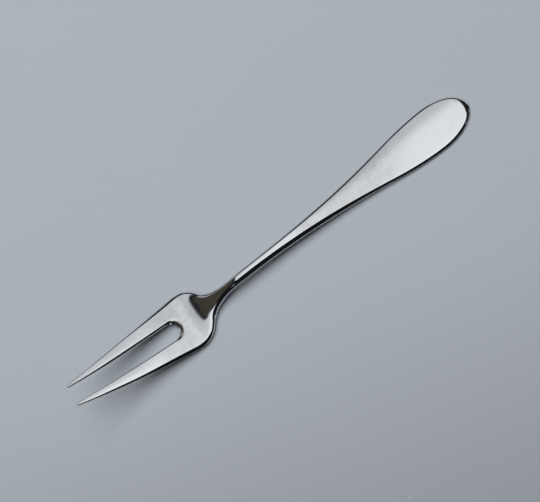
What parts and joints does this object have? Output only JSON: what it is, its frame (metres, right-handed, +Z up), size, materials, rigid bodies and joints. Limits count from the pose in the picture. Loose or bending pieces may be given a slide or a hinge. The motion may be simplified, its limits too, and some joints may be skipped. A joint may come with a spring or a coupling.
{
  "type": "serving fork",
  "caption": "Slim serving fork of polished metal with long pointed tines, a waisted neck and a flat oval handle, for lifting cold meat and pickles.",
  "frame": {"origin": "on the surface the fork lies on, under the middle of its length and width", "axes": "+X along the fork towards the end of the handle, so the tines point to -X; +Z up, the side that holds the food; +Y across"},
  "size_m": [0.2004, 0.0264, 0.0145],
  "materials": {
    "polished_steel": "mirror polished, with fine scratches and faint smudges from use"
  },
  "bodies": {
    "root": {"fork": "polished_steel"}
  },
  "joints": []
}
